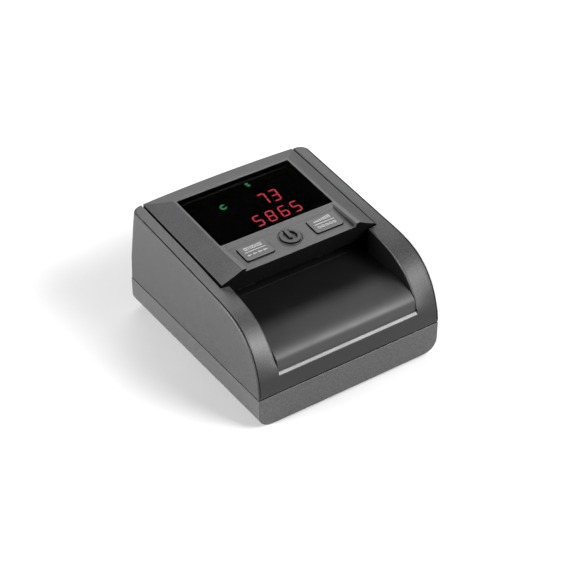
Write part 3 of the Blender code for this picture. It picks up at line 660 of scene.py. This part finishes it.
def make_upper_housing():
    rings = [cheek_ring(*station) for station in stations()]
    parts = []
    for side in (1, -1):
        parts.append(loft("cheek", [[(side * x, y, z) for x, y, z in ring] for ring in rings]))
    face = [(FRONT + reach + TUCK, SEAM + max(height, TUCK)) for reach, height, _, _ in stations()
            if height < LIP_START - 0.4]
    lip_reach = next(step / 50 for step in range(400) if crest(step / 50) >= LIP_START)
    for y, z in LIP_STEPS:
        face.append((FRONT + lip_reach + y, SEAM + LIP_START + z))
    face += [(FRONT + LIP_BACK, SEAM + LIP_START + LIP_RISE), (FRONT + LIP_BACK, SEAM + TUCK)]
    parts.append(prism("sill", "X", -THROAT_HALF - 1.0, THROAT_HALF + 1.0, [face]))
    low, high = SEAM + TUCK, SEAM + REAR_WALL_TOP
    rim = [(-REAR_WALL_HALF, low), (REAR_WALL_HALF, low), (REAR_WALL_HALF, high), (-REAR_WALL_HALF, high)]
    slot = rounded_rect(-EXIT_HALF, PATH_Z - 0.6, EXIT_HALF, PATH_Z + 4.6, 1.0)
    parts.append(prism("rear_wall", "Y", REAR - REAR_WALL_T, REAR - TUCK, [rim, slot]))
    body = parts[0]
    body.name = body.data.name = "housing_shell"
    combine(body, parts[1:], "UNION")
    combine(body, [hinge_bore("pin_bore")])
    lean_back(body)
    paint_housing(body)
    place(body, "housing", ["upper_housing"], 40)


def lean_back(body):
    """Leans the top of the rear forward, growing from nothing at LEAN_START in front of the rear."""
    for vert in body.data.vertices:
        share = min(max((vert.co.y / MM - REAR + LEAN_START) / LEAN_START, 0.0), 1.0)
        height = max(vert.co.z / MM - SEAM - 10.0, 0.0) / 40.0
        vert.co.y -= REAR_LEAN * MM * height ** 1.5 * share * share * (3.0 - 2.0 * share)


def paint_housing(body):
    """Casing all over, with painted shade in black on the throat walls and rail groove, and a painted
    highlight in a lighter plastic on the lip and the throat edge.
    """
    body.data.materials.clear()
    for look in (CASING, THROAT_SHADE, EDGE_HIGHLIGHT):
        body.data.materials.append(look)
    for face in body.data.polygons:
        middle = face.center / MM
        side, slope = abs(middle.x), abs(face.normal.x)
        inward = face.normal.x * middle.x < 0
        on_lip = (side < THROAT_HALF and 0.1 < middle.z - SEAM - LIP_START < 1.75
                  and face.normal.z > 0.5 and middle.y < FRONT + 3.3)
        on_edge = (THROAT_HALF < side < THROAT_HALF + THROAT_EDGE_R
                   and 2.2 < middle.y - FRONT < 24.0 and inward and 0.3 < slope < 0.95)
        # Painted highlight: the lip and the throat edge get the lighter edge plastic.
        if on_lip or on_edge:
            face.material_index = 2
        # Painted shade in black on the throat's inner walls, and below on the rail groove.
        if inward and slope > 0.9 and side < CHANNEL_HALF + 1 and middle.z > SEAM + 12.0:
            face.material_index = 1
        across = side_x(middle.y, middle.z) - EDGE_R - side
        if 0.1 < across < 0.6 and slope < 0.9 and middle.y < REAR - 14:
            face.material_index = 1


def make_seam_frame():
    """A black frame set in the seam, a painted shade that shows as a dark line between the two shells."""
    base_top = box_mm("base_shell")[1][2] - SEAM_EXTRA
    outlines = [rounded_rect(-HALF + inset, FRONT + inset, HALF - inset, REAR - inset, 0.6)
                for inset in (0.1, 1.9)]
    frame_piece = prism("seam_frame", "Z", base_top + TUCK, SEAM - TUCK, outlines, GAP_SHADE)
    place(frame_piece, "housing", (), 30)


def make_ramp():
    """The feed table: a steep face behind the lip that bends back and settles level with the slot."""
    top = [(3.0, 10.2), (3.0, 12.4), (3.3, 14.8), (3.75, 17.2), (4.05, 18.2), (4.4, 18.95), (4.85, 19.65)]
    for step in range(1, RAMP_BEND_STEPS):
        turn = math.radians(RAMP_BEND * (1.0 - step / RAMP_BEND_STEPS) ** 1.6 + RAMP_TILT)
        stride = 0.7 + 0.09 * step
        y, z = top[-1]
        top.append((y + stride * math.cos(turn), z + stride * math.sin(turn)))
    y, z = top[-1]
    rear = SLOT_Y - 0.3
    for share in (0.25, 0.5, 0.75):
        top.append((y + (rear - FRONT - y) * share, z + (PATH_Z - SEAM - z) * share))
    top = [(FRONT + y, SEAM + z) for y, z in top]
    top += [(rear, PATH_Z), (rear, PATH_Z - 2.0)]
    under = [(FRONT + y, SEAM + z) for y, z in ((8.5, 19.1), (6.4, 17.8), (4.9, 12.0), (4.9, 10.2))]
    ramp = prism("ramp_skin", "X", -RAMP_HALF, RAMP_HALF, [top + under], RAMP)
    soften(ramp, 0.35, 50)
    place(ramp, "housing", ["feed_ramp"], 30)


# Hood

def panel_z(y):
    return KEY_FRONT_Z + PLANE_SLOPE * (y - KEY_FRONT)


def plateau_z(reach):
    marks = [(49.4, 52.2), (60.0, 52.32), (72.0, 52.46), (75.3, 52.6), (123.7, 56.3), (125.0, 56.38)]
    for (low, low_z), (high, high_z) in zip(marks, marks[1:]):
        if reach <= high:
            return low_z + (high_z - low_z) * (reach - low) / (high - low)
    return marks[-1][1]


def bowed(x):
    """How far back the hood's rear edge reaches, which bows out towards the middle."""
    return HOOD_REACH + HOOD_BOW * (1.0 - (x / HOOD_HALF) ** 2)


def hood_ring(front_reach, tip_reach, low_reach, inset=0.0, rear=False, hip=False):
    """A section across the hood: wing, raised top and wing, closed along the bottom.

    The hip is the ring where the raised top ends and falls to the rear edge, and rear is that edge.
    """
    half = HOOD_HALF - inset
    plateau = PLATEAU_HALF - inset * 0.6
    low_z = HOOD_BOTTOM - (4.0 if inset else 0.0)
    top_z = SEAM + plateau_z(front_reach) - inset
    tip_z = WING_FRONT_Z + WING_SLOPE * (tip_reach - WING_REACH) - inset * 1.1
    ring = []
    for x in (half, half - 4.0, half - 8.0, plateau):
        share = (half - x) / (half - plateau)
        sag = math.sin(math.pi * share) * 0.25
        reach = tip_reach + (front_reach - tip_reach) * share
        if hip:
            tip_z = WING_FRONT_Z + WING_SLOPE * (reach - WING_REACH) - inset * 1.1
        if rear:
            reach = bowed(x) - inset
            z = tip_z + 0.15 * share
        else:
            z = tip_z + (top_z - tip_z) * share - sag
        ring.append((x, FRONT + reach, z))
    for x in (28.0, 14.0, 0.0):
        if rear:
            ring.append((x, FRONT + bowed(x) - inset, tip_z + 0.2))
        else:
            ring.append((x, FRONT + front_reach, top_z))
    ring += [(-x, y, z) for x, y, z in ring[-2::-1]]
    bottom = []
    for x, y, _ in ring:
        low = FRONT + low_reach if not rear else y
        bottom.append((x, low, low_z))
    return ring + bottom[::-1]


def hood_form(name, inset=0.0):
    rings = [hood_ring(PLATEAU_REACH + inset * 1.3, WING_REACH + inset * 1.4, 58.0 + inset, inset)]
    end = PLATEAU_END - inset * 0.4
    for reach in (61.0, 72.0, 75.3, 92.0, 108.0, end):
        rings.append(hood_ring(reach, reach, max(reach, 62.0), inset))
    rings.append(hood_ring(end, HOOD_REACH - inset, PLATEAU_END, inset, hip=True))
    rings.append(hood_ring(PLATEAU_END, HOOD_REACH, HOOD_REACH, inset, rear=True))
    return loft(name, rings)


def cleared(low, high, gap, radius):
    """The outline of a hole that leaves a gap all round a piece with these corners."""
    return rounded_rect(low[0] - gap, low[1] - gap, high[0] + gap, high[1] + gap, radius)


def make_hood():
    cover = hood_form("hood_cover")
    hollow = hood_form("hood_hollow", HOOD_SKIN)
    skirt = block("skirt_cut", (-HOOD_HALF - 2, HINGE_Y + 1.5, SEAM + 20),
                  (HOOD_HALF + 2, REAR + 6, SEAM + 41.2))
    combine(cover, [hollow, skirt])
    start = KEY_FRONT - 9
    rise = plateau_z(RECESS_END - FRONT)
    recess = [(start, panel_z(start)), (KEY_REAR, panel_z(KEY_REAR)),
              (RECESS_END, SEAM + rise + TUCK), (RECESS_END, HOOD_TOP), (start, HOOD_TOP)]
    combine(cover, [prism("recess_cut", "X", -RECESS_HALF, RECESS_HALF, [recess])])
    near, far = KEY_FRONT + 1.1, RECESS_END + 0.4
    backing = [(near, panel_z(near) - TUCK), (far, panel_z(far) - TUCK),
               (far, panel_z(KEY_REAR) - HOOD_SKIN), (KEY_FRONT + 1.8, panel_z(KEY_FRONT) - HOOD_SKIN)]
    combine(cover, [prism("panel_back", "X", -41.0, 41.0, [backing])], "UNION")
    cuts = [prism("window_cut", "Z", SEAM + 46.5, HOOD_TOP,
                  [cleared(window_low, window_high, WINDOW_CLEAR, 0.8)])]
    for key in ("left_key", "right_key"):
        cuts.append(prism("key_cut", "Z", SEAM + 44, HOOD_TOP, [cleared(*box_mm(key), KEY_CLEAR, 1.6)]))
    (low_x, low_y, _), (high_x, high_y, _) = box_mm("power_key")
    ring = circle((low_x + high_x) / 2, (low_y + high_y) / 2, (high_x - low_x) / 2 + 0.2)
    cuts.append(prism("power_cut", "Z", SEAM + 44, HOOD_TOP, [ring]))
    cuts.append(hinge_bore("hood_pin_bore"))
    combine(cover, cuts)
    merge_faces(cover)
    soften(cover, 0.35, 18)
    paint_hood(cover)
    place(cover, "hood", ["top_cover"], 40)


def paint_hood(cover):
    """Hood plastic outside, and painted shade in black on its front underside, its sides and the walls of
    its holes.
    """
    cover.data.materials.clear()
    cover.data.materials.append(HOOD)
    cover.data.materials.append(THROAT_SHADE)
    for face in cover.data.polygons:
        middle = face.center / MM
        under = middle.y < KEY_FRONT + 9 and face.normal.y < -0.7 and face.normal.z < -0.05
        in_hole = (KEY_FRONT + 2 < middle.y < KEY_REAR - 1 and abs(middle.x) < RECESS_HALF - 1.0
                   and abs(face.normal.z) < 0.6)
        side = abs(face.normal.x) > 0.9 and abs(middle.x) > HOOD_HALF - 0.6
        if under or in_hole or side:
            face.material_index = 1


# Display and keys

def tilted(obj, centre_y, centre_z):
    """Turns a flat piece made about the origin to lie on the hood's sloping top."""
    obj.data.transform(Matrix.Translation(Vector((0.0, centre_y, centre_z)) * MM)
                       @ Matrix.Rotation(PLANE_TILT, 4, "X"))
    return obj


def make_window():
    centre_y = (window_low[1] + window_high[1]) / 2
    centre_z = (window_low[2] + window_high[2]) / 2
    long = (window_high[1] - window_low[1]) / 2
    pane = prism("window_pane", "Z", -WINDOW_T / 2, WINDOW_T / 2,
                 [rounded_rect(window_low[0], -long, window_high[0], long, 0.7)], SMOKED, 0.2)
    place(tilted(pane, centre_y, centre_z), "hood", ["display_window"], 30)


SEGMENTS = {"0": "abcdef", "1": "bc", "2": "abged", "3": "abgcd", "4": "fgbc", "5": "afgcd", "6": "afgedc",
            "7": "abc", "8": "abcdefg", "9": "abcdfg"}


def segment_outline(which, high):
    """A seven-segment bar with pointed ends, in a digit that leans to the right."""
    half, gap = DIGIT_THICK / 2, 0.12
    u, v = DIGIT_WIDE / 2, high / 2
    ends = {"a": ((-u, v), (u, v)), "g": ((-u, 0), (u, 0)), "d": ((-u, -v), (u, -v)),
            "f": ((-u, 0), (-u, v)), "b": ((u, 0), (u, v)),
            "e": ((-u, -v), (-u, 0)), "c": ((u, -v), (u, 0))}
    (u1, v1), (u2, v2) = ends[which]
    if v1 == v2:
        points = [(u1 + gap, v1), (u1 + gap + half, v1 - half), (u2 - gap - half, v1 - half),
                  (u2 - gap, v1), (u2 - gap - half, v1 + half), (u1 + gap + half, v1 + half)]
    else:
        points = [(u1, v1 + gap), (u1 + half, v1 + gap + half), (u1 + half, v2 - gap - half),
                  (u1, v2 - gap), (u1 - half, v2 - gap - half), (u1 - half, v1 + gap + half)]
    return [(a + b * DIGIT_LEAN, b) for a, b in points]


def make_digits(node, text, centres, mid_y, high, name):
    """A display module: a black block with its lit and unlit segments let into the top."""
    low, far = box_mm(node)
    centre_y = (low[1] + far[1]) / 2
    long = (far[1] - low[1]) / 2
    thickness = far[2] - low[2] - PLANE_SLOPE * 2 * long
    centre_z = (low[2] + far[2]) / 2
    body = prism(name + "_module", "Z", -thickness / 2, thickness / 2 - 0.05,
                 [rounded_rect(low[0], -long, far[0], long, 0.4)], BLACK, 0.2)
    place(tilted(body, centre_y, centre_z), "hood", [node], 30)
    for kind, look in (("lit", RED_LIT), ("unlit", UNLIT)):
        bm = bmesh.new()
        for digit, centre in zip(text, centres):
            for which in "abcdefg":
                if (which in SEGMENTS[digit]) != (kind == "lit"):
                    continue
                outline = [(u + centre, v + mid_y - centre_y) for u, v in segment_outline(which, high)]
                bar = prism("bar", "Z", thickness / 2 - 0.3, thickness / 2, [outline])
                bm.from_mesh(bar.data)
                bpy.data.objects.remove(bar, do_unlink=True)
        segments = from_bmesh("%s_%s" % (name, kind), bm, look)
        place(tilted(segments, centre_y, centre_z), "hood", (), 30)


def arc_band(u, v, inner, outer, start, end, steps=28):
    """An outline of part of a ring, with rounded ends."""
    points = []
    for radius, way in ((outer, range(steps + 1)), (inner, range(steps, -1, -1))):
        for step in way:
            angle = math.radians(start + (end - start) * step / steps)
            points.append((u + radius * math.cos(angle), v + radius * math.sin(angle)))
        middle, half = (inner + outer) / 2, (outer - inner) / 2
        at = math.radians(end if radius == outer else start)
        turn = at if radius == outer else at + math.pi
        for step in range(1, 6):
            sweep = turn + math.pi * step / 6
            points.append((u + middle * math.cos(at) + half * math.cos(sweep),
                           v + middle * math.sin(at) + half * math.sin(sweep)))
    return points


def flat_marks(name, outlines, low, high, look, edge=0.0):
    """One piece made of several flat marks, each with its own rim and holes."""
    bm = bmesh.new()
    for outline in outlines:
        mark = prism("mark", "Z", low, high, outline, None, edge)
        bm.from_mesh(mark.data)
        bpy.data.objects.remove(mark, do_unlink=True)
    return from_bmesh(name, bm, look)


def make_marks():
    """Two small green state marks behind the window."""
    surface = window_low[2] - 0.6
    arc = [[arc_band(0.0, 0.0, 1.35, 2.2, 60, 320)]]
    dashes = [[rounded_rect(-1.3, 0.55, 0.9, 1.6, 0.3)], [rounded_rect(-0.7, -1.6, 1.3, -0.5, 0.3)]]
    for name, x, y, outlines in (("mark_arc", -17.2, FRONT + 107.5, arc),
                                 ("mark_dashes", 7.0, FRONT + 118.1, dashes)):
        made = flat_marks(name, outlines, -0.2, 0.2, GREEN_LIT)
        z = surface + PLANE_SLOPE * (y - window_low[1])
        made.data.transform(Matrix.Translation((x * MM, 0.0, 0.0)))
        place(tilted(made, y, z), "hood", (), 30)


def pictogram(kind):
    """Outlines for the small printed marks that stand in for a key's caption."""
    if kind == "notes":
        made = []
        for u in (-4.2, 0.0, 4.2):
            rim = rounded_rect(u - 1.8, -1.1, u + 1.8, 1.1, 0.3)
            made.append([rim, rounded_rect(u - 1.4, -0.7, u + 1.4, 0.7, 0.2)])
            made.append([circle(u, 0, 0.42, 16)])
        return made
    if kind == "arrows":
        made = []
        for u in (-5.4, -1.8, 1.8, 5.4):
            made.append([[(u - 1.5, 0.0), (u - 0.5, 1.05), (u - 0.5, -1.05)]])
            made.append([rounded_rect(u - 0.4, -0.25, u + 1.3, 0.25, 0.2)])
        return made
    if kind == "bars":
        return [[rounded_rect(u * 1.4 - 0.35, -1.1, u * 1.4 + 0.35, 0.2 + 0.22 * (u + 4), 0.15)]
                for u in range(-4, 5)]
    if kind == "coins":
        return [[circle(u * 2.7, 0, 1.1, 20), circle(u * 2.7, 0, 0.68, 20)] for u in range(-2, 3)]
    return [[rounded_rect(-7.0, -0.24, 7.0, 0.24, 0.15)]]


def paint_wall_shade(obj):
    """Paints the key's side walls black, a painted shade, so that only its top shows the key colour."""
    obj.data.materials.append(GAP_SHADE)
    for face in obj.data.polygons:
        if face.normal.z < 0.6:
            face.material_index = 1


def make_key(node, upper, lower):
    """A caption key: the cap, and two rows of pictograms with a line between them."""
    low, high = box_mm(node)
    centre_x = (low[0] + high[0]) / 2
    centre_y = (low[1] + high[1]) / 2
    long = (high[1] - low[1]) / 2
    thick = high[2] - low[2] - PLANE_SLOPE * 2 * long
    centre_z = (low[2] + high[2]) / 2
    cap = prism(node + "_cap", "Z", -thick / 2, thick / 2,
                [rounded_rect(low[0], -long, high[0], long, 1.3)], PANEL_KEY, 0.35)
    paint_wall_shade(cap)
    place(tilted(cap, centre_y, centre_z), node, [node], 30)
    captions = []
    for kind, v in ((upper, CAPTION_UP), ("line", CAPTION_LINE), (lower, CAPTION_DOWN)):
        for outlines in pictogram(kind):
            captions.append([[(u + centre_x, w + v) for u, w in outline] for outline in outlines])
    marks = flat_marks(node + "_print", captions, thick / 2 - 0.03, thick / 2 + 0.03, PRINT)
    place(tilted(marks, centre_y, centre_z), node, (), 30)


def make_power_key():
    """The round key: a flush disc with the raised power symbol on it."""
    low, high = box_mm("power_key")
    centre_x, centre_y = (low[0] + high[0]) / 2, (low[1] + high[1]) / 2
    radius = (high[0] - low[0]) / 2
    flush_z = panel_z(centre_y)
    disc = prism("power_disc", "Z", -3.2, 0.0, [circle(0, 0, radius - 0.05)], HOOD, 0.1)
    disc.data.transform(Matrix.Translation((centre_x * MM, 0, 0)))
    place(tilted(disc, centre_y, flush_z), "power_key", ["power_key"], 30)
    strokes = [[arc_band(0, 0, 4.3, 6.5, 125, 412, 56)], [rounded_rect(-1.2, -1.9, 1.2, 6.8, 0.9)]]
    mark = flat_marks("power_symbol", strokes, -0.4, 1.3, DARK_KEY, 0.2)
    paint_wall_shade(mark)
    mark.data.transform(Matrix.Translation((centre_x * MM, 0, 0)))
    place(tilted(mark, centre_y, flush_z), "power_key", (), 30)


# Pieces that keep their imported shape, with softened edges

BODY_OF = {node: body for body, nodes in frame["record"]["behaviour"]["bodies"].items() for node in nodes}


SHARP_EDGE = 50.0
# The display board and the plates inside are near-black, a painted shade that keeps them dark where they
# show through the window and the slots.
LOOKS = {"motor": (MOTOR_CAN, 0.5), "display_board": (THROAT_SHADE, 0.1), "guide_plate": (THROAT_SHADE, 0.1),
         "underplate": (THROAT_SHADE, 0.1), "encoder_wheel": (BLACK, 0.2), "buzzer": (BLACK, 0.2),
         "dc_jack": (BLACK, 0.2)}
KINDS = (("roller", RUBBER, 0.4), ("foot_", FOOT_RUBBER, 0.5), ("belt", BELT, 0.0), ("pulley", WHITE, 0.0),
         ("bush", BRONZE, 0.2), ("sensor_window", GLASS, 0.2), ("board", CIRCUIT, 0.1), ("", STEEL, 0.1))


def carry(node, look, edge):
    """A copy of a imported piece, with its material and with softened edges."""
    made = shown(node + "_skin", frame["nodes"][node].data.copy(), look)
    if edge:
        soften(made, edge, SHARP_EDGE)
    place(made, BODY_OF[node], [node])
    return made


def look_of(node):
    """The material and edge radius of a carried piece, by its own name or by its kind."""
    if node in LOOKS:
        return LOOKS[node]
    return next((look, edge) for kind, look, edge in KINDS if kind in node)


def make_base():
    """The base shell, with its rim lowered a little so that the seam shows."""
    skin = carry("base_shell", BASE, 0.3)
    for vert in skin.data.vertices:
        if vert.co.z > (SEAM - 1.0) * MM:
            vert.co.z -= SEAM_EXTRA * MM


make_upper_housing()
make_seam_frame()
make_ramp()
make_hood()
make_window()
make_digits("digit_pair", "73", (7.35, 15.45), FRONT + 101.4, 9.9, "upper_digits")
make_digits("digit_quad", "5865", (-6.4, 2.5, 11.5, 20.3), FRONT + 86.0, 9.0, "lower_digits")
make_marks()
make_key("left_key", "notes", "arrows")
make_key("right_key", "bars", "coins")
make_power_key()
make_base()
for name in frame["nodes"]:
    if not frame["nodes"][name].hide_render:
        carry(name, *look_of(name))


# Stage

def make_stage():
    bm = bmesh.new()
    bmesh.ops.create_grid(bm, x_segments=1, y_segments=1, size=6.0)
    floor = from_bmesh("floor", bm)
    look = Finish("floor_paper")
    cloud = look.spread(look.noise(60.0, 3.0), 0.0, 1.0)
    paper = look.mix(cloud, (0.52, 0.52, 0.52), (0.54, 0.54, 0.54))
    look.join(paper, look.shader.inputs["Base Color"])
    look.set(Roughness=0.85)
    floor.data.materials.append(look.made)


def area_light(name, location, size, power):
    """A rectangular lamp that shines at the middle of the object."""
    lamp = bpy.data.lights.new(name, "AREA")
    lamp.shape = "RECTANGLE"
    lamp.size, lamp.size_y = size
    lamp.energy = power
    made = bpy.data.objects.new(name, lamp)
    bpy.context.scene.collection.objects.link(made)
    made.location = location
    target = Vector((0.0, 0.0, 0.04))
    made.rotation_euler = (target - Vector(location)).to_track_quat("-Z", "Y").to_euler()


def make_light():
    world = bpy.data.worlds.new("studio")
    bpy.context.scene.world = world
    world.use_nodes = True
    back = world.node_tree.nodes["Background"]
    back.inputs["Color"].default_value = (1.0, 1.0, 1.0, 1.0)
    back.inputs["Strength"].default_value = 0.12
    area_light("key_light", (0.66, -0.86, 0.82), (0.8, 0.8), 44.0)
    area_light("rear_light", (0.74, 1.09, 0.91), (1.4, 0.8), 15.0)
    area_light("left_light", (-1.3, 0.3, 0.45), (1.0, 1.0), 64.0)


def make_camera():
    camera = bpy.data.cameras.new("camera")
    camera.lens = 112.5
    camera.sensor_width = 36.0
    camera.clip_start = 0.05
    made = bpy.data.objects.new("camera", camera)
    bpy.context.scene.collection.objects.link(made)
    made.location = (-0.4788, -0.7030, 0.6839)
    made.rotation_euler = (math.radians(52.59), 0.0, math.radians(-34.37))
    bpy.context.scene.camera = made


make_stage()
make_light()
make_camera()
bpy.context.scene.view_settings.view_transform = "Standard"

bpy.context.view_layer.update()
